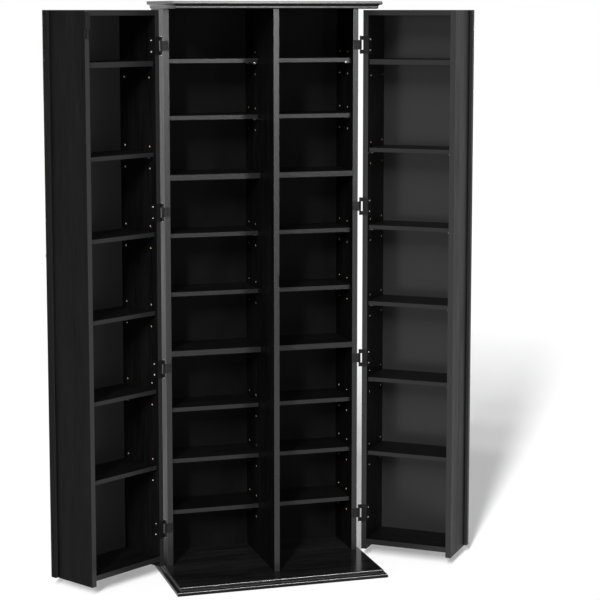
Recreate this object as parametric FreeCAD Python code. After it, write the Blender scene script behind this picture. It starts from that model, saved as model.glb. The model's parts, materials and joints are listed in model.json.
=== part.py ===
import FreeCAD, Part
import math
import os

from FreeCAD import Vector

# Tall storage tower: a cabinet of two shelved columns with a deep, shelved box door on each side.
# Sizes are in millimetres and angles in degrees. X runs to the right, Y to the back and Z up.
# The origin is the middle of the base plate's underside. The doors are drawn open.

# Boards
board = 15.9
shelf_board = 12.7
plate_board = 22.2
back_board = 3.2

# Cabinet body
overall_height = 1680.0
carcass_width = 587.0
carcass_depth = 160.0

# How far the base and the top plate reach past the cabinet body
base_side_reach = 22.5
base_front_reach = 227.0
base_rear_reach = 7.0
top_side_reach = 12.5
top_front_reach = 180.0
top_rear_reach = 7.0

# Moulded edge of the two plates, from its lip to its fascia
upper_round = 4.2
lip_height = 2.0
cove_radius = 5.5
lower_round = 4.0

# Shares of the cabinet's clear height that its rows take, from the base up
cabinet_rows = (149, 142, 141, 157, 158, 160, 157, 157, 151, 143)
cabinet_fixed_rows = (4, 7)
cabinet_shelf_setback = 20.0

# Shares of a door's clear height that its rows take, from its bottom panel up
door_rows = (260, 214, 219, 217, 218, 246, 128)
door_fixed_rows = (6,)
door_shelf_setback = 8.0
shelf_play = 1.0

# Shelf pins and their holes
pin_radius = 2.5
pin_seat = 7.5
pin_reach = 8.0
pin_hole_depth = 9.0
pin_fit = 0.1
pin_inset = 32.0
door_pin_inset = 18.0
pin_pitch = 32.0
pin_steps = (-1, 0, 1)

# Door boxes
door_depth = 147.0
front_board = 10.0
front_frame = 15.0
front_round = 9.0
stile_width = 58.0
rail_width = 64.0
bottom_recess = 16.0
door_end_gap = 3.0
divider_gap = 2.2
divider_front_gap = 3.4
centre_gap = 4.0
left_open_angle = 148.0
right_open_angle = 142.0

# Wrap-round hinges
leaf = 1.5
leaf_gap = 0.4
hinge_offset = 7.0
knuckle_radius = 3.0
hinge_pin_radius = 1.5
hinge_fit = 0.05
frame_leaf_inset = 1.5
knuckle_gap = 0.3
leaf_notch_inset = 1.0
wrap_depth = 25.0
hinge_shelf_gap = 16.0
hinge_rise = 5.0
inner_hinge_share = 0.1408
pin_head_radius = 2.6
pin_head = 1.0

# Hinge screws
screw_radius = 1.6
screw_length = 12.0
screw_head_radius = 3.0
screw_head = 1.2
screw_fit = 0.1
frame_screw_spacing = 16.0
frame_screw_margin = 6.0
door_screw_spacing = 32.0
door_screw_margin = 10.0
door_screw_inset = 14.0

# Carcass screws and dowels
carcass_screw_radius = 2.5
carcass_screw_length = 50.0
carcass_screw_head_radius = 5.0
carcass_screw_head = 3.0
carcass_screw_sink = 1.0
dowel_radius = 4.0
dowel_length = 30.0
dowel_seat_top = 12.0
dowel_seat_panel = 7.0
fastener_fit = 0.1
fastener_inset = 40.0

# Slide bolt on the left door
bolt_radius = 2.5
bolt_fit = 0.08
bolt_housing_width = 12.0
bolt_housing_depth = 8.0
bolt_housing_height = 43.0
bolt_housing_drop = 10.0
bolt_tip = 4.0
bolt_travel = 15.0
bolt_grip_radius = 4.0
bolt_grip_height = 10.0
bolt_grip_gap = 1.0
strike_plate = 1.2
strike_width = 17.0
strike_length = 26.0
strike_hole_play = 0.8
strike_bore_depth = 9.0

# Lock on the right door
lock_height = 890.0
lock_inset = 14.0
lock_radius = 9.0
lock_flange_radius = 11.0
lock_flange = 2.0
lock_inside = 4.0
lock_fit = 0.1
plug_radius = 5.5
plug_fit = 0.08
cam_gap = 0.4
cam_thickness = 2.5
cam_width = 14.0
cam_bite = 6.0
cam_play = 1.25
key_slot_width = 1.2
key_slot_length = 7.0
key_slot_depth = 3.0

# Pull knobs
knob_height = 960.0
knob_radius = 12.0
knob_neck_radius = 5.5
knob_length = 20.0
knob_stud_radius = 2.0
knob_stud_fit = 0.1

# Heights and planes that the pieces share
base_depth = base_front_reach + carcass_depth + base_rear_reach
front_y = base_front_reach - base_depth / 2
rear_y = front_y + carcass_depth
base_top = plate_board
top_under = overall_height - plate_board
half_width = carcass_width / 2
side_inner_x = -half_width + board
divider_x = -board / 2

# Closed left door: its planes, which the right door mirrors
door_gap = 2 * leaf + leaf_gap
door_rear_y = front_y - door_gap
door_box_y = door_rear_y - door_depth
door_frame_y = door_box_y - front_board
door_front_y = door_frame_y - front_frame
divider_front_y = door_box_y + divider_front_gap
door_bottom = base_top + door_end_gap
door_top = top_under - door_end_gap
door_middle = (door_bottom + door_top) / 2
free_x = divider_x - divider_gap
free_inner_x = free_x - board
front_end_x = -centre_gap / 2
hinge_x = -half_width - hinge_offset
hinge_y = front_y - door_gap / 2
edge_reach = front_round / 100
frame_leaf_height = frame_screw_spacing + 2 * frame_screw_margin
door_leaf_height = door_screw_spacing + 2 * door_screw_margin
open_angles = {"left": left_open_angle, "right": right_open_angle}


# Basic shapes


def block(x_low, x_high, y_low, y_high, z_low, z_high):
    size = (x_high - x_low, y_high - y_low, z_high - z_low)
    return Part.makeBox(*size, Vector(x_low, y_low, z_low))


def rod(radius, start, along):
    return Part.makeCylinder(radius, along.Length, start, along)


def cut_away(shape, tools):
    return shape.cut(tools).Solids[0]


def joined(first, others):
    return first.fuse(others).removeSplitter().Solids[0]


def mirrored(shape):
    return shape.mirror(Vector(0, 0, 0), Vector(1, 0, 0))


def swung_open(shape, side):
    """Turn a piece of the closed left door out to the side's open angle, mirrored for the right door."""
    turned = shape.copy()
    turned.rotate(Vector(hinge_x, hinge_y, 0), Vector(0, 0, 1), -open_angles[side])
    return turned if side == "left" else mirrored(turned)


# Plates with a moulded edge


def moulding(place):
    """Edges of the moulding from its fascia to its lip; place turns an inset and a height into a point."""
    slant = math.sqrt(0.5)
    fascia = plate_board - upper_round - lip_height - cove_radius - lower_round
    cove_low = fascia + lower_round
    cove_high = cove_low + cove_radius
    cove_inset = lower_round + cove_radius
    lip_top = cove_high + lip_height

    def line(start, end):
        return Part.makeLine(place(*start), place(*end))

    def arc(start, middle, end):
        return Part.Arc(place(*start), place(*middle), place(*end)).toShape()

    return [
        line((0, 0), (0, fascia)),
        arc((0, fascia), (lower_round * (1 - slant), fascia + lower_round * slant), (lower_round, cove_low)),
        arc((lower_round, cove_low), (lower_round + cove_radius * slant, cove_high - cove_radius * slant),
            (cove_inset, cove_high)),
        line((cove_inset, cove_high), (cove_inset, lip_top)),
        arc((cove_inset, lip_top), (cove_inset + upper_round * (1 - slant), lip_top + upper_round * slant),
            (cove_inset + upper_round, plate_board)),
    ]


def closed_face(edges):
    """Face inside a run of edges, closed by the straight lines that are still missing."""
    return Part.Face(Part.Wire(Part.__sortEdges__(edges)))


def moulded_plate(half_x, y_front, y_rear):
    """Plate that is widest at its underside, moulded at the front and both sides, square at the rear."""
    depth = y_rear - y_front

    def from_front(inset, height):
        return Vector(-half_x, y_front + inset, height)

    def from_left(inset, height):
        return Vector(-half_x + inset, y_front, height)

    def from_right(inset, height):
        return Vector(half_x - inset, y_front, height)

    front_edges = moulding(from_front)
    low_rear = from_front(depth, 0)
    high_rear = from_front(depth, plate_board)
    front_lines = [Part.makeLine(front_edges[-1].lastVertex().Point, high_rear),
                   Part.makeLine(high_rear, low_rear),
                   Part.makeLine(low_rear, from_front(0, 0))]
    across = closed_face(front_edges + front_lines).extrude(Vector(2 * half_x, 0, 0))

    left_edges = moulding(from_left)
    right_edges = moulding(from_right)
    side_lines = [Part.makeLine(left_edges[-1].lastVertex().Point, right_edges[-1].lastVertex().Point),
                  Part.makeLine(from_left(0, 0), from_right(0, 0))]
    along = closed_face(left_edges + right_edges + side_lines).extrude(Vector(0, depth, 0))
    return across.common(along).Solids[0]


def turned_over(plate):
    return plate.mirror(Vector(0, 0, plate_board / 2), Vector(0, 0, 1))


# Shelf levels, pins and holes


def shelf_levels(floor, ceiling, rows, fixed_rows):
    """Underside of the shelf above each row but the last, and whether that shelf is fixed."""
    fixed_flags = [number in fixed_rows for number in range(1, len(rows))]
    boards = [board if fixed else shelf_board for fixed in fixed_flags]
    unit = (ceiling - floor - sum(boards)) / sum(rows)
    levels = []
    height = floor
    for row, fixed, thickness in zip(rows, fixed_flags, boards):
        height = height + row * unit
        levels.append((height, fixed))
        height = height + thickness
    return levels


def loose_heights(levels):
    return [height for height, fixed in levels if not fixed]


def fixed_heights(levels):
    return [height for height, fixed in levels if fixed]


def pin_axis(shelf_height):
    return shelf_height - pin_radius - pin_fit


def pins_in_wall(wall_x, inward, lines, heights):
    """Pins standing out of a wall at wall_x, one on each line under each shelf."""
    start = wall_x - inward * pin_seat
    length = Vector(inward * (pin_seat + pin_reach), 0, 0)
    return [rod(pin_radius, Vector(start, line, pin_axis(height)), length)
            for height in heights for line in lines]


def pin_holes(wall_x, into_wall, lines, heights, depth):
    """Holes in a wall at wall_x: each shelf's own, and one step up and down."""
    along = Vector(into_wall * depth, 0, 0)
    return [rod(pin_radius + pin_fit, Vector(wall_x, line, pin_axis(height) + step * pin_pitch), along)
            for height in heights for line in lines for step in pin_steps]


def spare_holes(wall_x, into_wall, lines, levels):
    """One hole a step below each fixed shelf, where the row of holes ends."""
    along = Vector(into_wall * pin_hole_depth, 0, 0)
    return [rod(pin_radius + pin_fit, Vector(wall_x, line, height - pin_pitch), along)
            for height in fixed_heights(levels) for line in lines]


cabinet_levels = shelf_levels(base_top, top_under, cabinet_rows, cabinet_fixed_rows)
cabinet_pin_lines = (front_y + cabinet_shelf_setback + pin_inset, rear_y - pin_inset)
door_floor = door_bottom + bottom_recess + board
door_ceiling = door_top - board
door_levels = shelf_levels(door_floor, door_ceiling, door_rows, door_fixed_rows)
door_shelf_rear_y = door_rear_y - door_shelf_setback
door_pin_lines = (door_box_y + door_pin_inset, door_shelf_rear_y - door_pin_inset)


# Dowels and carcass screws


def edge_lines(y_low, y_high, count):
    """Evenly spaced places along a panel's edge, set in from its two ends."""
    first = y_low + fastener_inset
    step = (y_high - y_low - 2 * fastener_inset) / (count - 1)
    return [first + number * step for number in range(count)]


side_lines = edge_lines(front_y, rear_y, 2)
divider_lines = edge_lines(divider_front_y, rear_y, 3)
upright_places = [(-half_width + board / 2, line) for line in side_lines]
upright_places += [(0, line) for line in divider_lines]
upright_places += [(half_width - board / 2, line) for line in side_lines]


def top_dowel(x, y, play):
    start = Vector(x, y, top_under + dowel_seat_top + play - dowel_length - 2 * play)
    return rod(dowel_radius + play, start, Vector(0, 0, dowel_length + 2 * play))


def shelf_dowel(wall_x, inward, y, z, play):
    start = Vector(wall_x - inward * (dowel_seat_panel + play), y, z)
    return rod(dowel_radius + play, start, Vector(inward * (dowel_length + 2 * play), 0, 0))


def left_column_dowels(play):
    """Dowels at both ends of the fixed shelves in the left column."""
    dowels = []
    for height in fixed_heights(cabinet_levels):
        for line in side_lines:
            middle = height + board / 2
            dowels.append(shelf_dowel(side_inner_x, 1, line, middle, play))
            dowels.append(shelf_dowel(divider_x, -1, line, middle, play))
    return dowels


def carcass_screw(x, y, play):
    head_low = carcass_screw_sink if play == 0 else 0
    head_high = carcass_screw_sink + carcass_screw_head + play
    head = rod(carcass_screw_head_radius + play, Vector(x, y, head_low), Vector(0, 0, head_high - head_low))
    shank_length = carcass_screw_length - carcass_screw_head + play
    shank = rod(carcass_screw_radius + play, Vector(x, y, head_high), Vector(0, 0, shank_length))
    return joined(head, [shank])


top_dowels = [top_dowel(x, y, 0) for x, y in upright_places]
top_dowel_holes = [top_dowel(x, y, fastener_fit) for x, y in upright_places]
carcass_screws = [carcass_screw(x, y, 0) for x, y in upright_places]
carcass_screw_holes = [carcass_screw(x, y, fastener_fit) for x, y in upright_places]
column_dowels = left_column_dowels(0)
column_dowel_holes = left_column_dowels(fastener_fit)


# Hinges, drawn for the left side with the door closed: the top one stands above the door's fixed shelf

hinge_middle = door_middle + hinge_rise
top_hinge = fixed_heights(door_levels)[-1] + board + hinge_shelf_gap + door_leaf_height / 2
inner_offset = inner_hinge_share * (door_top - door_bottom)
hinge_heights = [2 * hinge_middle - top_hinge, hinge_middle - inner_offset,
                 hinge_middle + inner_offset, top_hinge]


def hinge_screw(seat, into, play):
    """Screw whose head stands on the seat point and whose shank runs along the direction into the board."""
    head_start = seat - into * screw_head
    head = rod(screw_head_radius, head_start, into * screw_head)
    shank = rod(screw_radius + play, seat, into * (screw_length + play))
    return joined(head, [shank]) if play == 0 else shank


def sunk_screw(seat, into, play):
    """Screw with a conical head let into a leaf whose outer face holds the seat point."""
    head = Part.makeCone(screw_head_radius + play, screw_radius + play, screw_head, seat, into)
    shank_start = seat + into * screw_head
    shank = rod(screw_radius + play, shank_start, into * (screw_length + play))
    return joined(head, [shank])


def frame_screw_seats(height):
    x = -half_width + board / 2
    return [Vector(x, front_y - leaf, height + way * frame_screw_spacing / 2) for way in (-1, 1)]


def door_screw_seats(height):
    x = side_inner_x + leaf
    y = door_rear_y - door_screw_inset
    return [Vector(x, y, height + way * door_screw_spacing / 2) for way in (-1, 1)]


into_frame = Vector(0, 1, 0)
into_door = Vector(-1, 0, 0)
frame_screws = [sunk_screw(seat, into_frame, 0) for height in hinge_heights for seat in frame_screw_seats(height)]
frame_screw_holes = [sunk_screw(seat, into_frame, screw_fit)
                     for height in hinge_heights for seat in frame_screw_seats(height)]
door_screws = [hinge_screw(seat, into_door, 0) for height in hinge_heights for seat in door_screw_seats(height)]
door_screw_holes = [hinge_screw(seat, into_door, screw_fit)
                    for height in hinge_heights for seat in door_screw_seats(height)]


def knuckle(low, high):
    return rod(knuckle_radius, Vector(hinge_x, hinge_y, low), Vector(0, 0, high - low))


def pin_bore(low, high):
    return rod(hinge_pin_radius + hinge_fit, Vector(hinge_x, hinge_y, low), Vector(0, 0, high - low))


def frame_leaf(height):
    low = height - frame_leaf_height / 2
    high = height + frame_leaf_height / 2
    plate = block(hinge_x, side_inner_x - frame_leaf_inset, front_y - leaf, front_y, low, high)
    return cut_away(joined(plate, [knuckle(low, high)]), [pin_bore(low, high)] + frame_screw_holes)


def door_leaf(height):
    low = height - door_leaf_height / 2
    high = height + door_leaf_height / 2
    notch_low = height - frame_leaf_height / 2 - knuckle_gap
    notch_high = height + frame_leaf_height / 2 + knuckle_gap
    wrap_x = side_inner_x + leaf
    plate = block(hinge_x, wrap_x, door_rear_y, door_rear_y + leaf, low, high)
    wrap = block(side_inner_x, wrap_x, door_rear_y - wrap_depth, door_rear_y + leaf, low, high)
    notch = block(hinge_x - knuckle_radius, -half_width + leaf_notch_inset, door_rear_y - leaf,
                  door_rear_y + 2 * leaf, notch_low, notch_high)
    bent = joined(plate, [wrap]).cut([notch])
    whole = joined(bent, [knuckle(low, notch_low), knuckle(notch_high, high)])
    return cut_away(whole, [pin_bore(low, high)] + door_screw_holes)


def hinge_pin(height):
    half_length = door_leaf_height / 2 + hinge_fit
    foot = Vector(hinge_x, hinge_y, height - half_length)
    shank = rod(hinge_pin_radius, foot, Vector(0, 0, 2 * half_length))
    heads = [rod(pin_head_radius, Vector(hinge_x, hinge_y, height - half_length - pin_head), Vector(0, 0, pin_head)),
             rod(pin_head_radius, Vector(hinge_x, hinge_y, height + half_length), Vector(0, 0, pin_head))]
    return joined(shank, heads)


# Slide bolt at the top of the left door's free edge

bolt_x = free_x - board / 2
bolt_y = door_rear_y + bolt_housing_depth / 2
bolt_housing_top = door_top - bolt_housing_drop
bolt_housing_low = bolt_housing_top - bolt_housing_height


def bolt_rod(radius, low, high):
    return rod(radius, Vector(bolt_x, bolt_y, low), Vector(0, 0, high - low))


def bolt_housing():
    body = block(bolt_x - bolt_housing_width / 2, bolt_x + bolt_housing_width / 2, door_rear_y,
                 door_rear_y + bolt_housing_depth, bolt_housing_low, bolt_housing_top)
    return cut_away(body, [bolt_rod(bolt_radius + bolt_fit, bolt_housing_low, bolt_housing_top)])


def slide_bolt():
    grip_top = bolt_housing_low - bolt_travel - bolt_grip_gap
    grip_low = grip_top - bolt_grip_height
    shank = bolt_rod(bolt_radius, grip_low, bolt_housing_top + bolt_tip)
    return joined(shank, [bolt_rod(bolt_grip_radius, grip_low, grip_top)])


def bolt_strike():
    plate = block(bolt_x - strike_width / 2, bolt_x + strike_width / 2, bolt_y - strike_length / 2,
                  bolt_y + strike_length / 2, top_under - strike_plate, top_under)
    hole = bolt_rod(bolt_radius + strike_hole_play, top_under - strike_plate, top_under)
    return cut_away(plate, [hole])


strike_bore = bolt_rod(bolt_radius + strike_hole_play, top_under, top_under + strike_bore_depth)


# Lock near the free edge, drawn on the closed left door and mirrored to the right door

lock_x = free_inner_x - lock_inset
lock_inner_y = door_box_y + lock_inside
cam_y = lock_inner_y + cam_gap
cam_length = divider_x + cam_bite - lock_x


def lock_rod(radius, y_low, y_high):
    return rod(radius, Vector(lock_x, y_low, lock_height), Vector(0, y_high - y_low, 0))


def lock_housing():
    barrel = lock_rod(lock_radius, door_front_y, lock_inner_y)
    flange = lock_rod(lock_flange_radius, door_front_y - lock_flange, door_front_y)
    bore = lock_rod(plug_radius + plug_fit, door_front_y - lock_flange, lock_inner_y)
    return cut_away(joined(barrel, [flange]), [bore])


def lock_plug():
    """Plug with its cam, turned down to the unlocked place."""
    plug = lock_rod(plug_radius, door_front_y - lock_flange, cam_y + cam_thickness)
    cam_end = lock_rod(cam_width / 2, cam_y, cam_y + cam_thickness)
    arm = block(lock_x - cam_width / 2, lock_x + cam_width / 2, cam_y, cam_y + cam_thickness,
                lock_height - cam_length, lock_height)
    key_slot = block(lock_x - key_slot_width / 2, lock_x + key_slot_width / 2, door_front_y - lock_flange,
                     door_front_y - lock_flange + key_slot_depth,
                     lock_height - key_slot_length / 2, lock_height + key_slot_length / 2)
    return cut_away(joined(plug, [cam_end, arm]), [key_slot])


def cam_sweep(x_start, x_end):
    """Space that the cam's end passes through as it turns up from below, with room on every side."""
    reach = math.hypot(cam_length, cam_width / 2) + cam_play
    low = lock_height - math.sqrt(max(reach ** 2 - (x_start - lock_x) ** 2, 0))
    high = lock_height + cam_width / 2 + cam_play
    return block(x_start, x_end, cam_y - cam_play, cam_y + cam_thickness + cam_play, low, high)


lock_hole = lock_rod(lock_radius + lock_fit, door_front_y, door_box_y)
lock_slot = cam_sweep(free_inner_x, free_x)
lock_mortise = cam_sweep(divider_x, divider_x + cam_bite + cam_play)

# Pull knob on the free stile

knob_x = front_end_x - stile_width / 2
knob_foot = Vector(knob_x, door_front_y, knob_height)
knob_hole = rod(knob_stud_radius + knob_stud_fit, Vector(knob_x, door_front_y, knob_height),
                Vector(0, front_frame + front_board, 0))


def pull_knob():
    """Turned knob: a waisted neck that opens into a flat round head, on a stud through the front."""
    head_start = knob_length * 0.45
    neck = Part.makeCone(knob_neck_radius, knob_neck_radius * 0.75, head_start, knob_foot, Vector(0, -1, 0))
    head_foot = knob_foot + Vector(0, -head_start, 0)
    head = Part.makeCylinder(knob_radius, knob_length - head_start, head_foot, Vector(0, -1, 0))
    rounding = (knob_length - head_start) * 0.45
    head = head.makeFillet(rounding, head.Edges)
    stud = rod(knob_stud_radius, knob_foot, Vector(0, front_frame + front_board, 0))
    return joined(neck, [head, stud])


# Cabinet pieces


def side_panel():
    panel = block(-half_width, side_inner_x, front_y, rear_y, base_top, top_under)
    holes = pin_holes(side_inner_x, -1, cabinet_pin_lines, loose_heights(cabinet_levels), pin_hole_depth)
    return cut_away(panel, holes + column_dowel_holes + top_dowel_holes + carcass_screw_holes + frame_screw_holes)


def centre_divider():
    panel = block(divider_x, -divider_x, divider_front_y, rear_y, base_top, top_under)
    holes = pin_holes(divider_x, 1, cabinet_pin_lines, loose_heights(cabinet_levels), board)
    other_dowels = [mirrored(hole) for hole in column_dowel_holes]
    return cut_away(panel, holes + column_dowel_holes + other_dowels + top_dowel_holes + carcass_screw_holes
                    + [mirrored(lock_mortise)])


def fixed_shelf(height):
    shelf = block(side_inner_x, divider_x, front_y, rear_y, height, height + board)
    return cut_away(shelf, column_dowel_holes)


def loose_shelf(height):
    return block(side_inner_x + shelf_play, divider_x - shelf_play, front_y + cabinet_shelf_setback,
                 rear_y - shelf_play, height, height + shelf_board)


def both_sides(shape):
    return [shape, mirrored(shape)]


def cabinet_pins():
    heights = loose_heights(cabinet_levels)
    pins = pins_in_wall(side_inner_x, 1, cabinet_pin_lines, heights)
    pins += pins_in_wall(divider_x, -1, cabinet_pin_lines, heights)
    return pins + [mirrored(pin) for pin in pins]


def base_plate():
    half_x = half_width + base_side_reach
    plate = moulded_plate(half_x, front_y - base_front_reach, rear_y + base_rear_reach)
    return cut_away(plate, carcass_screw_holes)


def top_plate():
    half_x = half_width + top_side_reach
    plate = turned_over(moulded_plate(half_x, front_y - top_front_reach, rear_y + top_rear_reach))
    plate.translate(Vector(0, 0, top_under))
    return cut_away(plate, top_dowel_holes + [strike_bore])


def back_panel():
    return block(-half_width, half_width, rear_y, rear_y + back_board, base_top, top_under)


def cabinet_nodes():
    panel = side_panel()
    nodes = {
        "base_plate": [base_plate()],
        "top_plate": [top_plate()],
        "left_side_panel": [panel],
        "right_side_panel": [mirrored(panel)],
        "centre_divider": [centre_divider()],
        "back_panel": [back_panel()],
    }
    for name, height in zip(("lower", "upper"), fixed_heights(cabinet_levels)):
        shelf = fixed_shelf(height)
        nodes["left_" + name + "_fixed_shelf"] = [shelf]
        nodes["right_" + name + "_fixed_shelf"] = [mirrored(shelf)]
    for number, height in enumerate(loose_heights(cabinet_levels), start=1):
        nodes["cabinet_shelves_" + str(number)] = both_sides(loose_shelf(height))
    nodes["cabinet_shelf_pins"] = cabinet_pins()
    leaves = [frame_leaf(height) for height in hinge_heights]
    pins = [hinge_pin(height) for height in hinge_heights]
    nodes["frame_hinge_leaves"] = leaves + [mirrored(item) for item in leaves]
    nodes["frame_hinge_screws"] = frame_screws + [mirrored(item) for item in frame_screws]
    nodes["hinge_pins"] = pins + [mirrored(item) for item in pins]
    nodes["carcass_screws"] = carcass_screws
    nodes["wood_dowels"] = top_dowels + column_dowels + [mirrored(item) for item in column_dowels]
    nodes["bolt_strike_plate"] = [bolt_strike()]
    return nodes


# Door pieces, drawn on the closed left door


def door_side_panels(side):
    heights = loose_heights(door_levels)
    hinge_side = block(-half_width, side_inner_x, door_box_y, door_rear_y, door_bottom, door_top)
    hinge_holes = pin_holes(side_inner_x, -1, door_pin_lines, heights, pin_hole_depth)
    hinge_holes += spare_holes(side_inner_x, -1, door_pin_lines, door_levels)
    free_side = block(free_inner_x, free_x, door_box_y, door_rear_y, door_bottom, door_top)
    free_holes = pin_holes(free_inner_x, 1, door_pin_lines, heights, pin_hole_depth)
    free_holes += spare_holes(free_inner_x, 1, door_pin_lines, door_levels)
    if side == "right":
        free_holes.append(lock_slot)
    return cut_away(hinge_side, hinge_holes + door_screw_holes), cut_away(free_side, free_holes)


def door_cross_board(low, rear):
    return block(side_inner_x, free_inner_x, door_box_y, rear, low, low + board)


def door_loose_shelf(height):
    return block(side_inner_x + shelf_play, free_inner_x - shelf_play, door_box_y + shelf_play,
                 door_shelf_rear_y, height, height + shelf_board)


def rounded_front(piece, outer_planes):
    """Round the front edges of a frame board that lie on its outer planes, each a direction and a place."""
    front_edges = [edge for edge in piece.Edges if abs(edge.CenterOfMass.y - door_front_y) < edge_reach]
    outer_edges = [edge for edge in front_edges for direction, place in outer_planes
                   if abs(edge.CenterOfMass.dot(direction) - place) < edge_reach]
    return piece.makeFillet(front_round, outer_edges)


def door_front(side):
    """Front board, and the stiles and rails on it, with the holes for the knob and the lock."""
    holes = [knob_hole]
    if side == "right":
        holes.append(lock_hole)
    backing = block(-half_width, front_end_x, door_frame_y, door_box_y, door_bottom, door_top)
    hinge_stile_x = -half_width + stile_width
    free_stile_x = front_end_x - stile_width
    hinge_stile = block(-half_width, hinge_stile_x, door_front_y, door_frame_y, door_bottom, door_top)
    free_stile = block(free_stile_x, front_end_x, door_front_y, door_frame_y, door_bottom, door_top)
    low_rail = block(hinge_stile_x, free_stile_x, door_front_y, door_frame_y, door_bottom, door_bottom + rail_width)
    high_rail = block(hinge_stile_x, free_stile_x, door_front_y, door_frame_y, door_top - rail_width, door_top)
    low_plane = (Vector(0, 0, 1), door_bottom)
    high_plane = (Vector(0, 0, 1), door_top)
    hinge_stile = rounded_front(hinge_stile, [low_plane, high_plane, (Vector(1, 0, 0), -half_width)])
    free_stile = rounded_front(free_stile, [low_plane, high_plane, (Vector(1, 0, 0), front_end_x)])
    low_rail = rounded_front(low_rail, [low_plane])
    high_rail = rounded_front(high_rail, [high_plane])
    frame = [hinge_stile, cut_away(free_stile, holes), low_rail, high_rail]
    return cut_away(backing, holes), frame


def door_nodes(side):
    heights = loose_heights(door_levels)
    hinge_side, free_side = door_side_panels(side)
    backing, frame = door_front(side)
    closed = {
        "front_board": [backing],
        "front_frame": frame,
        "hinge_side": [hinge_side],
        "free_side": [free_side],
        "top_panel": [door_cross_board(door_ceiling, door_rear_y)],
        "bottom_panel": [door_cross_board(door_bottom + bottom_recess, door_rear_y)],
        "fixed_shelf": [door_cross_board(height, door_shelf_rear_y) for height in fixed_heights(door_levels)],
        "shelf_pins": (pins_in_wall(side_inner_x, 1, door_pin_lines, heights)
                       + pins_in_wall(free_inner_x, -1, door_pin_lines, heights)),
        "hinge_leaves": [door_leaf(height) for height in hinge_heights],
        "hinge_screws": door_screws,
        "knob": [pull_knob()],
    }
    for number, height in enumerate(heights, start=1):
        closed["shelf_" + str(number)] = [door_loose_shelf(height)]
    if side == "left":
        closed["bolt_housing"] = [bolt_housing()]
        closed["slide_bolt"] = [slide_bolt()]
    else:
        closed["lock_housing"] = [lock_housing()]
        closed["lock_plug"] = [lock_plug()]
    return {side + "_door_" + name: [swung_open(solid, side) for solid in solids]
            for name, solids in closed.items()}


# Write one file for each node


def write(nodes):
    for name, solids in nodes.items():
        shape = solids[0] if len(solids) == 1 else Part.makeCompound(solids)
        shape.exportStep(os.path.join("parts", name + ".step"))


os.makedirs("parts", exist_ok=True)
write(cabinet_nodes())
write(door_nodes("left"))
write(door_nodes("right"))
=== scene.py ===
import json
import math

import bmesh
import bpy
from mathutils import Matrix, Vector

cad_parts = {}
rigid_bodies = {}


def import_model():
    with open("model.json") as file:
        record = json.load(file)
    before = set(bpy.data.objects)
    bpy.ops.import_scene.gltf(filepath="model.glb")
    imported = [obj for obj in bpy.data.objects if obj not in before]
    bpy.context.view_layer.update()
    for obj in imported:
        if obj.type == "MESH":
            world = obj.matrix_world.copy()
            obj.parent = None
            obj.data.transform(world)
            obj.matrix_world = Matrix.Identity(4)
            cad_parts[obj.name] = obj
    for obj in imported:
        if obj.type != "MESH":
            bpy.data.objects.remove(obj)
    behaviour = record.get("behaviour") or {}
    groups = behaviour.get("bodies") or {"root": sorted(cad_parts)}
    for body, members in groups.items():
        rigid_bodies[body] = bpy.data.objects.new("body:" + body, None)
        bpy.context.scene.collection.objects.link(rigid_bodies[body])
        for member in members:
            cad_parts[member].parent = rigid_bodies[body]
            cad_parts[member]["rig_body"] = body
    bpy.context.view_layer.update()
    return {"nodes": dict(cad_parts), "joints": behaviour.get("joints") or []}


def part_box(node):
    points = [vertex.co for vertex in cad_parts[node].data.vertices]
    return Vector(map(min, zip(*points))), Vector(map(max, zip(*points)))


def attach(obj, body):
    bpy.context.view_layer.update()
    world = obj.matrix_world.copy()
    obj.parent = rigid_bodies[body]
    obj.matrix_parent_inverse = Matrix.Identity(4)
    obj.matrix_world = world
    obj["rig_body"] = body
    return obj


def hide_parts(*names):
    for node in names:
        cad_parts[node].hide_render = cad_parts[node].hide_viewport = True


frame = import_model()
nodes = frame["nodes"]
scene = bpy.context.scene

MM = 0.001
RIGHT_ANGLE = math.radians(90)
FRONT = Vector((0, -1, 0))
REAR = Vector((0, 1, 0))
UP = Vector((0, 0, 1))
TO_RIGHT = Vector((1, 0, 0))
TO_LEFT = Vector((-1, 0, 0))
WHITE = (1, 1, 1, 1)

# Rest pose of the doors, from the joints: how far each is turned from closed about the vertical
joints = {joint["name"]: joint for joint in frame["joints"]}
LEFT_TURN = math.radians(joints["left_door_hinge"]["range_deg"][0])
RIGHT_TURN = -math.radians(joints["right_door_hinge"]["range_deg"][0])

# Camera: a little left of the tower and tilted down a little, with a small shift for the framing
IMAGE_PIXELS = 600
FOCAL_PIXELS = 1844.32
AXIS_PIXEL = 236.25
SENSOR_MM = 36.0
CAMERA_YAW = math.radians(16.672)
CAMERA_PITCH = math.radians(7.0)
CAMERA_PLACE = (-1.43965, -5.15751, 1.6552)
CAMERA_REACH = 100.0


def add_camera():
    data = bpy.data.cameras.new("camera")
    data.sensor_width = SENSOR_MM
    data.sensor_fit = "HORIZONTAL"
    data.lens = FOCAL_PIXELS / IMAGE_PIXELS * SENSOR_MM
    data.shift_y = (AXIS_PIXEL - IMAGE_PIXELS / 2) / IMAGE_PIXELS
    data.clip_end = CAMERA_REACH
    camera = bpy.data.objects.new("camera", data)
    camera.location = CAMERA_PLACE
    camera.rotation_euler = (RIGHT_ANGLE - CAMERA_PITCH, 0, -CAMERA_YAW)
    scene.collection.objects.link(camera)
    scene.camera = camera


add_camera()
scene.view_settings.view_transform = "Standard"

# Node helpers

RISING = (0.0, 1.0)
FALLING = (1.0, 0.0)
UNTURNED = (0.0, 0.0, 0.0)

# Numbers of the mix node's first input, second input and result, for each kind of data
MIX_SOCKETS = {"RGBA": (6, 7, 2), "FLOAT": (2, 3, 0)}


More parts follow.
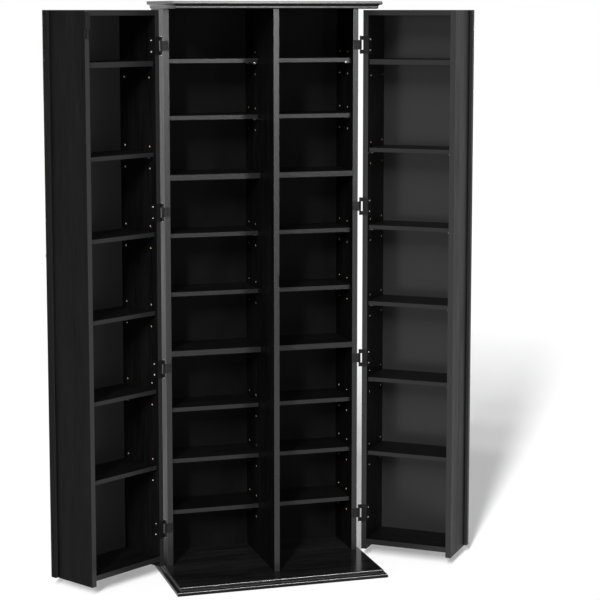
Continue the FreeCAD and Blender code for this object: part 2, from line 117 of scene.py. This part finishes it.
def add_node(tree, kind, settings=None, inputs=None):
    """Shader node with settings and inputs; an input may be a value or another node's socket."""
    node = tree.nodes.new(kind)
    for key, value in (settings or {}).items():
        setattr(node, key, value)
    for key, value in (inputs or {}).items():
        if isinstance(value, bpy.types.NodeSocket):
            tree.links.new(value, node.inputs[key])
        else:
            node.inputs[key].default_value = value
    return node


def new_material(name):
    material = bpy.data.materials.new(name)
    material.use_nodes = True
    return material, material.node_tree, material.node_tree.nodes["Principled BSDF"]


def noise(tree, pattern, rotation=UNTURNED):
    """Noise of a pattern, whose features have a size in metres along each turned axis."""
    place = add_node(tree, "ShaderNodeTexCoord")
    mapping = add_node(tree, "ShaderNodeMapping", {"vector_type": "TEXTURE"},
                       {"Vector": place.outputs["Object"], "Rotation": rotation, "Scale": pattern["size"]})
    texture = add_node(tree, "ShaderNodeTexNoise", None,
                       {"Vector": mapping.outputs["Vector"], "Scale": 1.0,
                        "Detail": pattern["detail"], "Roughness": pattern["roughness"]})
    return texture.outputs["Fac"]


def spread(tree, value, span, result=RISING):
    """Value carried from one span to another, held at both ends."""
    node = add_node(tree, "ShaderNodeMapRange", None,
                    {"Value": value, "From Min": span[0], "From Max": span[1],
                     "To Min": result[0], "To Max": result[1]})
    return node.outputs["Result"]


def combine(tree, operation, first, second):
    node = add_node(tree, "ShaderNodeMath", {"operation": operation}, {0: first, 1: second})
    return node.outputs["Value"]


def weighted_sum(tree, first, first_share, second, second_share):
    """Two values added up, each times its share."""
    return combine(tree, "ADD", combine(tree, "MULTIPLY", first, first_share),
                   combine(tree, "MULTIPLY", second, second_share))


def mixed(tree, kind, amount, first, second):
    """First turned into second by an amount; the kind is RGBA for colours and FLOAT for numbers."""
    first_socket, second_socket, result = MIX_SOCKETS[kind]
    node = add_node(tree, "ShaderNodeMix", {"data_type": kind},
                    {0: amount, first_socket: first, second_socket: second})
    return node.outputs[result]


def bumped(tree, height, strength, distance):
    node = add_node(tree, "ShaderNodeBump", None,
                    {"Height": height, "Strength": strength, "Distance": distance})
    return node.outputs["Normal"]


def along_normal(tree, way):
    """How far the surface faces a way in the object's own axes, from minus one to one."""
    place = add_node(tree, "ShaderNodeTexCoord")
    product = add_node(tree, "ShaderNodeVectorMath", {"operation": "DOT_PRODUCT"},
                       {0: place.outputs["Normal"], 1: way})
    return product.outputs["Value"]


def feed(tree, shader, sockets):
    """Links sockets to the inputs of a shader, by the inputs' names."""
    for name, socket in sockets.items():
        tree.links.new(socket, shader.inputs[name])


def seen_rays(tree):
    """One for the rays that show a thing, straight, mirrored or through glass, and zero for its light."""
    path = add_node(tree, "ShaderNodeLightPath").outputs
    seen = combine(tree, "MAXIMUM", path["Is Camera Ray"], path["Is Glossy Ray"])
    return combine(tree, "MAXIMUM", seen, path["Is Transmission Ray"])


# Noise patterns

FINE_GRAIN = {"size": (0.0013, 0.0013, 0.045), "detail": 3.0, "roughness": 0.55}
STREAK_GRAIN = {"size": (0.0045, 0.0045, 0.16), "detail": 5.0, "roughness": 0.62}
CLOUD_GRAIN = {"size": (0.05, 0.05, 0.45), "detail": 2.0, "roughness": 0.55}
FIBRES = {"size": (0.0012, 0.0012, 0.0016), "detail": 6.0, "roughness": 0.7}
FIBRE_CLOUDS = {"size": (0.08, 0.08, 0.12), "detail": 3.0, "roughness": 0.55}
ORANGE_PEEL = {"size": (0.0009, 0.0009, 0.0009), "detail": 2.0, "roughness": 0.55}
COAT_WEAR = {"size": (0.006, 0.006, 0.006), "detail": 4.0, "roughness": 0.65}
STAINS = {"size": (0.01, 0.01, 0.01), "detail": 3.0, "roughness": 0.55}
UPRIGHT_BRUSHING = {"size": (0.0004, 0.0004, 0.003), "detail": 3.0, "roughness": 0.6}
LEVEL_BRUSHING = {"size": (0.003, 0.003, 0.0004), "detail": 3.0, "roughness": 0.6}
EVEN_BRUSHING = {"size": (0.001, 0.001, 0.001), "detail": 3.0, "roughness": 0.6}
BEECH_FIBRES = {"size": (0.002, 0.002, 0.02), "detail": 5.0, "roughness": 0.7}
BOARD_CHIPS = {"size": (0.001, 0.001, 0.001), "detail": 5.0, "roughness": 0.7}

# Spans of the noise that carry it to a colour or a roughness
MIDDLE_SPAN = (0.35, 0.65)
WIDE_SPAN = (0.3, 0.7)

# Wood-grain laminate

TONE_SPAN = (0.38, 0.64)
PORE_SPAN = (0.3, 0.52)
STREAK_SHARE = 0.6
CLOUD_SHARE = 0.4
PORE_RELIEF = 0.7
STREAK_RELIEF = 0.5
GRAIN_DEPTH = 0.3 * MM
FACING_SPAN = (0.85, 0.95)

# Moulding of the base, with a painted highlight on its rounded arrises: how far they lean up and face the
# front, and where its cove lies, which has none
LEAN_START = (0.36, 0.46)
LEAN_END = (0.74, 0.84)
FRONT_SPAN = (0.2, 0.4)
COVE_FOOT = 10.5 * MM
COVE_TOP = 16.0 * MM
COVE_BLUR = 0.3 * MM

PANEL_LOOK = {
    "dark": (0.0016, 0.0016, 0.0017, 1), "light": (0.0065, 0.0063, 0.0062, 1),
    "pore": (0.001, 0.001, 0.001, 1), "rough": (0.26, 0.5), "bump": 0.3, "specular": 0.05,
    "edge": (0.016, 0.016, 0.0164, 1), "edge_rough": 0.26, "edge_coat": 0.42, "edge_coat_rough": 0.22,
}
SHELF_LOOK = {
    "dark": (0.0016, 0.0016, 0.0017, 1), "light": (0.005, 0.0048, 0.0047, 1),
    "pore": (0.001, 0.001, 0.001, 1), "rough": (0.3, 0.48), "bump": 0.25, "specular": 0.05,
    "edge": (0.012, 0.012, 0.0122, 1), "edge_rough": 0.28, "edge_coat": 0.3, "edge_coat_rough": 0.22,
}
# The base's edge colour, far lighter than its foil, is a painted highlight on the moulding's rounded front
# arrises
BASE_LOOK = {
    "dark": (0.003, 0.003, 0.0031, 1), "light": (0.014, 0.0137, 0.0135, 1),
    "pore": (0.0015, 0.0015, 0.0015, 1), "rough": (0.13, 0.24), "bump": 0.03, "specular": 0.06,
    "edge": (0.09, 0.09, 0.091, 1), "edge_rough": 0.13, "edge_coat": 1.0, "edge_coat_rough": 0.24,
}
TOP_LOOK = dict(BASE_LOOK, edge=(0.006, 0.006, 0.006, 1), edge_coat=0.8, edge_coat_rough=0.2)


def edges_facing(way):
    """Maker of a mask that is one on the edges that face a way, and zero elsewhere."""
    def mask(tree):
        return spread(tree, along_normal(tree, way), FACING_SPAN)

    return mask


def painted_highlight_arrises(tree):
    """One on the two rounded arrises of the moulding along the base's front, where a highlight is painted,
    zero elsewhere.
    """
    rise = along_normal(tree, UP)
    leaning = combine(tree, "MULTIPLY", spread(tree, rise, LEAN_START),
                      spread(tree, rise, LEAN_END, FALLING))
    leaning = combine(tree, "MULTIPLY", leaning, spread(tree, along_normal(tree, FRONT), FRONT_SPAN))
    place = add_node(tree, "ShaderNodeTexCoord")
    height = add_node(tree, "ShaderNodeSeparateXYZ", None, {0: place.outputs["Object"]}).outputs["Z"]
    below_cove = spread(tree, height, (COVE_FOOT - COVE_BLUR, COVE_FOOT), FALLING)
    above_cove = spread(tree, height, (COVE_TOP, COVE_TOP + COVE_BLUR))
    return combine(tree, "MULTIPLY", leaning, combine(tree, "MAXIMUM", below_cove, above_cove))


def laminate(name, turn, lies_flat, edges, look):
    """Black wood-grain foil on board, with a smoother band along some of its edges; on the base the band's
    light colour is a painted highlight.
    """
    material, tree, shader = new_material(name)
    rotation = (0.0, RIGHT_ANGLE if lies_flat else 0.0, turn)
    fine = noise(tree, FINE_GRAIN, rotation)
    streak = noise(tree, STREAK_GRAIN, rotation)
    cloud = noise(tree, CLOUD_GRAIN, rotation)
    blend = weighted_sum(tree, streak, STREAK_SHARE, cloud, CLOUD_SHARE)
    pores = spread(tree, fine, PORE_SPAN)
    grain_colour = mixed(tree, "RGBA", spread(tree, blend, TONE_SPAN), look["dark"], look["light"])
    pored_colour = mixed(tree, "RGBA", pores, look["pore"], grain_colour)
    grain_rough = spread(tree, blend, MIDDLE_SPAN, look["rough"])
    height = weighted_sum(tree, pores, PORE_RELIEF, streak, STREAK_RELIEF)
    # On the base the band's colour is a painted highlight along the moulding's arrises
    band = edges(tree)
    feed(tree, shader, {
        "Base Color": mixed(tree, "RGBA", band, pored_colour, look["edge"]),
        "Roughness": mixed(tree, "FLOAT", band, grain_rough, look["edge_rough"]),
        "Normal": bumped(tree, height, look["bump"], GRAIN_DEPTH),
        "Coat Weight": combine(tree, "MULTIPLY", band, look["edge_coat"]),
    })
    shader.inputs["Coat Roughness"].default_value = look["edge_coat_rough"]
    shader.inputs["Specular IOR Level"].default_value = look["specular"]
    return material


# Painted hardboard, black metal, plated metal and raw wood

HARDBOARD_LOOK = {
    "dark": (0.002, 0.002, 0.0022, 1), "light": (0.0055, 0.0053, 0.0052, 1), "tone_span": (0.36, 0.64),
    "fibre_share": 0.5, "cloud_share": 0.5, "rough": (0.55, 0.72),
    "bump": 0.3, "depth": 0.4 * MM, "specular": 0.04,
}
COATED_LOOK = {
    "dark": (0.0028, 0.0028, 0.003, 1), "worn": (0.011, 0.011, 0.0115, 1), "worn_span": (0.62, 0.74),
    "rough": (0.32, 0.46), "bump": 0.25, "depth": 0.2 * MM, "specular": 0.22,
}
BRIGHT_STEEL_LOOK = {
    "dark": (0.55, 0.55, 0.54, 1), "light": (0.72, 0.71, 0.69, 1),
    "rough": (0.18, 0.32), "brushing": UPRIGHT_BRUSHING,
}
SATIN_NICKEL_LOOK = {
    "dark": (0.42, 0.41, 0.38, 1), "light": (0.55, 0.54, 0.5, 1),
    "rough": (0.26, 0.42), "brushing": LEVEL_BRUSHING,
}
SCREW_STEEL_LOOK = {
    "dark": (0.3, 0.3, 0.31, 1), "light": (0.42, 0.42, 0.42, 1),
    "rough": (0.35, 0.5), "brushing": EVEN_BRUSHING,
}
BEECH_LOOK = {"dark": (0.42, 0.28, 0.15, 1), "light": (0.58, 0.43, 0.27, 1), "speckle": BEECH_FIBRES}
CHIPBOARD_LOOK = {"dark": (0.3, 0.21, 0.12, 1), "light": (0.52, 0.41, 0.27, 1), "speckle": BOARD_CHIPS}
BRUSHED_BUMP = 0.1
BRUSHED_DEPTH = 0.1 * MM
RAW_ROUGH = (0.7, 0.9)
RAW_BUMP = 0.4
RAW_DEPTH = 0.3 * MM


def hardboard(name, look):
    """Thin painted hardboard, with a faint speckle of fibres."""
    material, tree, shader = new_material(name)
    fibre = noise(tree, FIBRES)
    cloud = noise(tree, FIBRE_CLOUDS)
    tone = weighted_sum(tree, fibre, look["fibre_share"], cloud, look["cloud_share"])
    amount = spread(tree, tone, look["tone_span"])
    feed(tree, shader, {
        "Base Color": mixed(tree, "RGBA", amount, look["dark"], look["light"]),
        "Roughness": spread(tree, tone, WIDE_SPAN, look["rough"]),
        "Normal": bumped(tree, fibre, look["bump"], look["depth"]),
    })
    shader.inputs["Specular IOR Level"].default_value = look["specular"]
    return material


def coated_metal(name, look):
    """Satin black powder coat with a fine orange peel, worn to grey in places."""
    material, tree, shader = new_material(name)
    peel = noise(tree, ORANGE_PEEL)
    wear = noise(tree, COAT_WEAR)
    amount = spread(tree, wear, look["worn_span"])
    feed(tree, shader, {
        "Base Color": mixed(tree, "RGBA", amount, look["dark"], look["worn"]),
        "Roughness": spread(tree, wear, WIDE_SPAN, look["rough"]),
        "Normal": bumped(tree, peel, look["bump"], look["depth"]),
    })
    shader.inputs["Specular IOR Level"].default_value = look["specular"]
    return material


def plated_metal(name, look):
    """Plated steel with fine brushing and faint stains."""
    material, tree, shader = new_material(name)
    scratches = noise(tree, look["brushing"])
    stain = noise(tree, STAINS)
    feed(tree, shader, {
        "Base Color": mixed(tree, "RGBA", spread(tree, stain, MIDDLE_SPAN), look["dark"], look["light"]),
        "Roughness": spread(tree, scratches, WIDE_SPAN, look["rough"]),
        "Normal": bumped(tree, scratches, BRUSHED_BUMP, BRUSHED_DEPTH),
    })
    shader.inputs["Metallic"].default_value = 1.0
    return material


def bare_wood(name, look):
    """Raw wood or raw chipboard, matt and speckled."""
    material, tree, shader = new_material(name)
    speckle = noise(tree, look["speckle"])
    feed(tree, shader, {
        "Base Color": mixed(tree, "RGBA", spread(tree, speckle, MIDDLE_SPAN), look["dark"], look["light"]),
        "Roughness": spread(tree, speckle, WIDE_SPAN, RAW_ROUGH),
        "Normal": bumped(tree, speckle, RAW_BUMP, RAW_DEPTH),
    })
    return material


# Materials of the nodes


def turned_way(way, turn):
    """Way after a turn about the vertical."""
    return Matrix.Rotation(turn, 3, "Z") @ way


turns = {"left_door": LEFT_TURN, "right_door": RIGHT_TURN, "cabinet": 0.0}
open_ways = {
    "left_door": turned_way(REAR, LEFT_TURN),
    "right_door": turned_way(REAR, RIGHT_TURN),
    "cabinet": FRONT,
}
upright = {}
lying = {}
for body, turn in turns.items():
    open_edges = edges_facing(open_ways[body])
    upright[body] = laminate(body + "_upright_laminate", turn, False, open_edges, PANEL_LOOK)
    lying[body] = laminate(body + "_lying_laminate", turn, True, open_edges, SHELF_LOOK)
# The base's moulded arrises carry a painted highlight
base_laminate = laminate("base_laminate", 0.0, True, painted_highlight_arrises, BASE_LOOK)
top_laminate = laminate("top_laminate", 0.0, True, edges_facing(FRONT), TOP_LOOK)
back_hardboard = hardboard("back_hardboard", HARDBOARD_LOOK)
black_metal = coated_metal("black_metal", COATED_LOOK)
bright_steel = plated_metal("bright_steel", BRIGHT_STEEL_LOOK)
satin_nickel = plated_metal("satin_nickel", SATIN_NICKEL_LOOK)
screw_steel = plated_metal("screw_steel", SCREW_STEEL_LOOK)
beech = bare_wood("beech", BEECH_LOOK)
chipboard = bare_wood("chipboard", CHIPBOARD_LOOK)

OWN_MATERIALS = {
    "base_plate": base_laminate,
    "top_plate": top_laminate,
    "back_panel": back_hardboard,
    "carcass_screws": screw_steel,
    "wood_dowels": beech,
}
WORD_MATERIALS = (
    (("knob", "lock_"), satin_nickel),
    (("hinge_leaves", "frame_hinge_screws", "bolt"), black_metal),
    (("shelf_pins", "hinge_screws", "hinge_pins"), bright_steel),
)
LYING_WORDS = ("shelf", "shelves", "top_panel", "bottom_panel")


def has_word(name, words):
    return any(word in name for word in words)


def material_of(name):
    """Material of a CAD node, from its name or else from the first words that are found in it."""
    if name in OWN_MATERIALS:
        return OWN_MATERIALS[name]
    for words, material in WORD_MATERIALS:
        if has_word(name, words):
            return material
    body = nodes[name]["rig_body"]
    return lying[body] if has_word(name, LYING_WORDS) else upright[body]


for name, node in nodes.items():
    node.data.materials.clear()
    node.data.materials.append(material_of(name))

# Soften the arrises of the boards

WELD_REACH = 0.02 * MM
FLAT_ANGLE = math.radians(0.5)
FLAT_WEIGHT = 100
BEVEL_ANGLE = math.radians(40)
BEVEL_SEGMENTS = 2
BOARD_BEVEL = 0.6 * MM
PLATE_BEVEL = 0.3 * MM
BOARD_WORDS = ("shelf", "shelves", "panel", "divider", "side", "front_board")
PLATES = ("base_plate", "top_plate")


def soften(node, width):
    """Rounds the sharp edges of a node by a width, with level shading on its flat faces."""
    weld = node.modifiers.new("weld", "WELD")
    weld.merge_threshold = WELD_REACH
    flat = node.modifiers.new("flat", "DECIMATE")
    flat.decimate_type = "DISSOLVE"
    flat.angle_limit = FLAT_ANGLE
    bevel = node.modifiers.new("bevel", "BEVEL")
    bevel.width = width
    bevel.segments = BEVEL_SEGMENTS
    bevel.limit_method = "ANGLE"
    bevel.angle_limit = BEVEL_ANGLE
    level = node.modifiers.new("level", "WEIGHTED_NORMAL")
    level.mode = "FACE_AREA"
    level.weight = FLAT_WEIGHT
    level.keep_sharp = True


for name, node in nodes.items():
    if has_word(name, BOARD_WORDS) and "pins" not in name and name != "back_panel":
        soften(node, BOARD_BEVEL)
for name in PLATES:
    soften(nodes[name], PLATE_BEVEL)

# Places read off the CAD meshes

POINT_DIGITS = 6
AXIS_SLACK = 0.05
PIN_HOLE_LOW = 2.4 * MM
PIN_HOLE_HIGH = 2.8 * MM
PIN_HOLE_REACH = 20 * MM


def touching_groups(node, polygons):
    """Corner points of some polygons of a node, in groups that touch."""
    parent = {}

    def root(key):
        while parent[key] != key:
            parent[key] = parent[parent[key]]
            key = parent[key]
        return key

    for polygon in polygons:
        corners = [node.matrix_world @ node.data.vertices[index].co for index in polygon.vertices]
        keys = [tuple(round(value, POINT_DIGITS) for value in corner) for corner in corners]
        for key in keys:
            parent.setdefault(key, key)
            parent[root(key)] = root(keys[0])
    groups = {}
    for key in parent:
        groups.setdefault(root(key), []).append(Vector(key))
    return list(groups.values())


def middle_of(points):
    return sum(points, Vector()) / len(points)


def across(vector, axis):
    """Part of a vector square to an axis."""
    return vector - axis * vector.dot(axis)


def widest(points, middle, axis):
    """Greatest distance of some points from an axis through their middle."""
    return max(across(point - middle, axis).length for point in points)


def free_pin_holes(node, axis, pins):
    """Mouth, inward way and depth of each shelf-pin hole along an axis of a board that has no pin in it."""
    heights = [(node.matrix_world @ vertex.co).dot(axis) for vertex in node.data.vertices]
    low, high = min(heights), max(heights)
    walls = [polygon for polygon in node.data.polygons if abs(polygon.normal.dot(axis)) < AXIS_SLACK]
    holes = []
    for points in touching_groups(node, walls):
        middle = middle_of(points)
        held = any(across(pin - middle, axis).length < PIN_HOLE_LOW
                   and abs((pin - middle).dot(axis)) < PIN_HOLE_REACH for pin in pins)
        if held or not PIN_HOLE_LOW < widest(points, middle, axis) < PIN_HOLE_HIGH:
            continue
        ends = [point.dot(axis) for point in points]
        inward = 1 if min(ends) - low < high - max(ends) else -1
        mouth = low if inward == 1 else high
        holes.append((middle + axis * (mouth - middle.dot(axis)), axis * inward, max(ends) - min(ends)))
    return holes


def pin_middles(body):
    """Middle of every shelf pin of a body."""
    node = nodes[body + "_shelf_pins"]
    return [middle_of(points) for points in touching_groups(node, node.data.polygons)]


# Turned forms and pieces

FINE_SEGMENTS = 32
COARSE_SEGMENTS = 16


def placed_along(place, way):
    """Matrix that stands a form's own upright on a place, along a way."""
    return Matrix.Translation(place) @ way.to_track_quat("Z", "Y").to_matrix().to_4x4()


def turned(shape, profile, matrix, segments, sunk=None):
    """Adds a turned form to a mesh; its profile is radius and height pairs, from the foot to the middle."""
    rings = []
    for radius, height in profile:
        count = segments if radius > 0 else 1
        ring = []
        for number in range(count):
            angle = math.tau * number / segments
            x, y = radius * math.cos(angle), radius * math.sin(angle)
            drop = sunk(x, y) if sunk else 0.0
            ring.append(shape.verts.new(matrix @ Vector((x, y, height - drop))))
        rings.append(ring)
    for low, high in zip(rings, rings[1:]):
        for number in range(segments):
            after = (number + 1) % segments
            corners = [low[number], low[after]] if len(low) > 1 else [low[0]]
            corners += [high[after], high[number]] if len(high) > 1 else [high[0]]
            shape.faces.new(corners)


def add_piece(name, shape, body, material):
    """Piece of the scene from a mesh in the making, riding on a body."""
    mesh = bpy.data.meshes.new(name)
    bmesh.ops.recalc_face_normals(shape, faces=shape.faces)
    shape.to_mesh(mesh)
    shape.free()
    mesh.materials.append(material)
    mesh.shade_smooth()
    mesh.set_sharp_from_angle(angle=BEVEL_ANGLE)
    piece = bpy.data.objects.new(name, mesh)
    scene.collection.objects.link(piece)
    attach(piece, body)
    return piece


# Hinge screws with a cross recess

SCREW_SHANK = 1.6 * MM
SCREW_LENGTH = 12.0 * MM
PAN_HEAD = 1.2 * MM
FLUSH_HEAD = 0.4 * MM
RIM_SHARE = 0.3
DOME_STEPS = 12
RECESS_DEPTH = 0.7 * MM
RECESS_ARM = 1.9 * MM
RECESS_HALF_WIDTH = 0.38 * MM
RECESS_TAPER = 0.5


def cross_recess(x, y):
    """Depth of a cross recess at a point of a screw's head, less towards the ends of its arms."""
    along, beside = max(abs(x), abs(y)), min(abs(x), abs(y))
    if math.hypot(x, y) >= RECESS_ARM or beside > RECESS_HALF_WIDTH:
        return 0.0
    return RECESS_DEPTH * (1 - RECESS_TAPER * along / RECESS_ARM)


def screw(shape, seat, outward, head_radius, head_height):
    """Screw whose domed head stands on its seat and faces outward."""
    matrix = placed_along(seat, outward)
    rim = RIM_SHARE * head_height
    head = [(head_radius, 0.0), (head_radius, rim)]
    for number in range(1, DOME_STEPS + 1):
        radius = head_radius * (1 - number / DOME_STEPS)
        dome = math.sqrt(1 - (radius / head_radius) ** 2)
        head.append((radius, rim + (head_height - rim) * dome))
    turned(shape, head, matrix, FINE_SEGMENTS, cross_recess)
    shank = [(SCREW_SHANK, 0.0), (SCREW_SHANK, -SCREW_LENGTH), (0.0, -SCREW_LENGTH)]
    turned(shape, shank, matrix, COARSE_SEGMENTS)


def screws_like(node_name, body, outward, head_height, material):
    """Detailed screws in the places of a node's plain ones."""
    node = nodes[node_name]
    shape = bmesh.new()
    for points in touching_groups(node, node.data.polygons):
        middle = middle_of(points)
        top = max(point.dot(outward) for point in points)
        seat = middle + outward * (top - head_height - middle.dot(outward))
        screw(shape, seat, outward, widest(points, middle, outward), head_height)
    piece = add_piece(node_name + "_detail", shape, body, material)
    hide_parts(node_name)


screws_like("frame_hinge_screws", "cabinet", FRONT, FLUSH_HEAD, black_metal)
for body, inner_way in (("left_door", TO_RIGHT), ("right_door", TO_LEFT)):
    outward = turned_way(inner_way, turns[body])
    screws_like(body + "_hinge_screws", body, outward, PAN_HEAD, bright_steel)

# Raw board in the empty pin holes

LINING_WALL = 0.25 * MM
LINING_SINK = 0.15 * MM
PINNED_BOARDS = {
    "cabinet": ("left_side_panel", "right_side_panel", "centre_divider"),
    "left_door": ("left_door_hinge_side", "left_door_free_side"),
    "right_door": ("right_door_hinge_side", "right_door_free_side"),
}


def lining(shape, mouth, inward, depth):
    """Raw board seen inside a hole: its wall and its end."""
    outer = PIN_HOLE_LOW + LINING_SINK
    inner = PIN_HOLE_LOW - LINING_WALL / 2
    end = -depth + LINING_SINK
    profile = [(outer, end), (outer, -LINING_SINK), (inner, -LINING_SINK),
               (inner, end + LINING_SINK), (0.0, end + LINING_SINK)]
    turned(shape, profile, placed_along(mouth, -inward), COARSE_SEGMENTS)


for body, boards in PINNED_BOARDS.items():
    across_boards = turned_way(TO_RIGHT, turns[body])
    pins = pin_middles(body)
    shape = bmesh.new()
    for board in boards:
        for mouth, inward, depth in free_pin_holes(nodes[board], across_boards, pins):
            lining(shape, mouth, inward, depth)
    add_piece(body + "_pin_hole_linings", shape, body, chipboard)

# Nails in the back panel; their profile is shares of the head's radius and height

NAIL_RADIUS = 2.2 * MM
NAIL_HEAD = 0.7 * MM
NAIL_PROFILE = ((1.0, 0.0), (0.9, 0.6), (0.5, 0.95), (0.0, 1.0))
NAIL_PITCH = 130 * MM
NAIL_SIDE_INSET = 8 * MM
NAIL_END_INSET = 16 * MM


def evenly(low, high, pitch):
    """Places from low to high, no further apart than a pitch."""
    count = math.ceil((high - low) / pitch)
    return [low + (high - low) * number / count for number in range(count + 1)]


def back_nails():
    """Nails down both sides of the back panel, and down the middle into the divider."""
    low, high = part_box("back_panel")
    lines_x = (low.x + NAIL_SIDE_INSET, (low.x + high.x) / 2, high.x - NAIL_SIDE_INSET)
    levels = evenly(low.z + NAIL_END_INSET, high.z - NAIL_END_INSET, NAIL_PITCH)
    head = [(NAIL_RADIUS * wide, NAIL_HEAD * tall) for wide, tall in NAIL_PROFILE]
    shape = bmesh.new()
    for x in lines_x:
        for z in levels:
            turned(shape, head, placed_along(Vector((x, high.y, z)), REAR), COARSE_SEGMENTS)
    add_piece("back_nails", shape, "cabinet", screw_steel)


back_nails()

# Floor, world and lamps

FLOOR_SIZE = 60.0
FLOOR_GLOW = 0.04
FLOOR_COLOUR = (0.9, 0.9, 0.9, 1)
WORLD_FILL = 0.16

# Key light: a tall strip on the left, as suns one above another that light the floor alike
KEY_TURN = math.radians(29.5)
KEY_RISES = [math.radians(rise) for rise in (52, 43, 36, 31, 26.5, 22.5)]
KEY_ANGLE = 5.0
KEY_FLOOR_SHARE = 0.11

# Other lamps: the way to each, the angle of its disc in degrees, its share and whether it casts a shadow
OTHER_LAMPS = {
    "highlight": ((0.27, -0.5, 0.83), 6.0, 0.37, False),
    "fill": ((0.266, -0.962, 0.03), 7.0, 0.1, True),
    "rear_left": ((-0.55, 0.82, 0.02), 6.0, 0.22, True),
    "rear_right": ((0.55, 0.82, 0.02), 6.0, 0.22, True),
}


def floor():
    """Pale matt floor that takes the shadow, a little brighter to the eye."""
    mesh = bpy.data.meshes.new("floor")
    half = FLOOR_SIZE / 2
    corners = [(-half, -half, 0), (half, -half, 0), (half, half, 0), (-half, half, 0)]
    mesh.from_pydata(corners, [], [range(len(corners))])
    plane = bpy.data.objects.new("floor", mesh)
    scene.collection.objects.link(plane)
    material, tree, shader = new_material("floor")
    shader.inputs["Base Color"].default_value = FLOOR_COLOUR
    shader.inputs["Roughness"].default_value = 1.0
    shader.inputs["Specular IOR Level"].default_value = 0.0
    shader.inputs["Emission Color"].default_value = WHITE
    feed(tree, shader, {"Emission Strength": combine(tree, "MULTIPLY", seen_rays(tree), FLOOR_GLOW)})
    mesh.materials.append(material)


def world():
    """World that looks white and gives a weak light from all round."""
    sky = bpy.data.worlds.new("world")
    scene.world = sky
    sky.use_nodes = True
    tree = sky.node_tree
    background = tree.nodes["Background"]
    background.inputs["Color"].default_value = WHITE
    feed(tree, background, {"Strength": mixed(tree, "FLOAT", seen_rays(tree), WORLD_FILL, 1.0)})


def sun_lamp(name, way, angle, share, shadow):
    """Soft sun; the way points at it, and a share of one lights a white surface facing it to white."""
    data = bpy.data.lights.new(name, "SUN")
    data.energy = share * math.pi
    data.angle = math.radians(angle)
    data.use_shadow = shadow
    lamp = bpy.data.objects.new(name, data)
    lamp.rotation_euler = Vector(way).to_track_quat("Z", "Y").to_euler()
    scene.collection.objects.link(lamp)


floor()
world()
for number, rise in enumerate(KEY_RISES, 1):
    level = math.cos(rise)
    way = (-math.sin(KEY_TURN) * level, -math.cos(KEY_TURN) * level, math.sin(rise))
    sun_lamp(f"key_{number}", way, KEY_ANGLE, KEY_FLOOR_SHARE / math.sin(rise), True)
for name, (way, angle, share, shadow) in OTHER_LAMPS.items():
    sun_lamp(name, way, angle, share, shadow)
